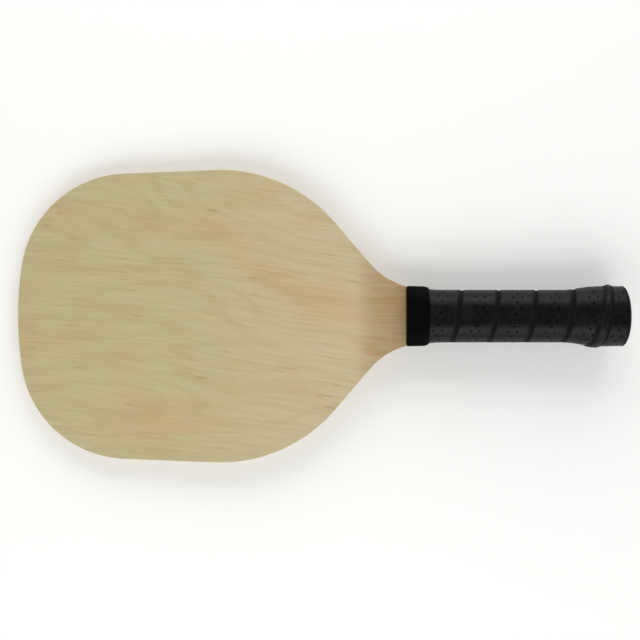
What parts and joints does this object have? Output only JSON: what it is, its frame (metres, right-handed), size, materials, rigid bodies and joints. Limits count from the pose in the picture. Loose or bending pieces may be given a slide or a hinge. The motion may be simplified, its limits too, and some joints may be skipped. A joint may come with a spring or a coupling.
{
  "type": "pickleball paddle",
  "caption": "Wooden pickleball paddle with a bare plywood blade, a spiral-wrapped perforated grip, a rubber collar and a flared butt cap.",
  "frame": {"origin": "bottom centre of the paddle's box, with the blade level", "axes": "+X runs from the blade's tip towards the butt cap, +Y lies across the blade, and +Z comes out of the front face"},
  "size_m": [0.38, 0.182, 0.0361],
  "materials": {
    "face_wood": "bare pale maple veneer, sanded",
    "cross_wood": "bare veneer with its grain across the paddle",
    "long_wood": "bare veneer with its grain along the paddle",
    "scale_wood": "sanded softwood under the grip",
    "cap_plastic": "black moulded plastic with a fine matt texture",
    "staple_steel": "galvanised wire",
    "adhesive_film": "milky adhesive film",
    "grip_foam": "black felted foam backing",
    "grip_leather": "soft black perforated synthetic leather",
    "finish_vinyl": "black vinyl tape",
    "collar_rubber": "smooth matt black rubber"
  },
  "bodies": {
    "root": {"face_veneer_front": "face_wood", "crossband_front": "cross_wood", "longband_front": "long_wood", "core_veneer": "cross_wood", "longband_back": "long_wood", "crossband_back": "cross_wood", "face_veneer_back": "face_wood", "handle_scale_front": "scale_wood", "handle_scale_back": "scale_wood", "butt_cap": "cap_plastic", "butt_cap_staples": "staple_steel", "tape_start_staple": "staple_steel", "grip_adhesive": "adhesive_film", "grip_backing": "grip_foam", "grip_skin": "grip_leather", "finishing_tape": "finish_vinyl", "rubber_collar": "collar_rubber"}
  },
  "joints": []
}
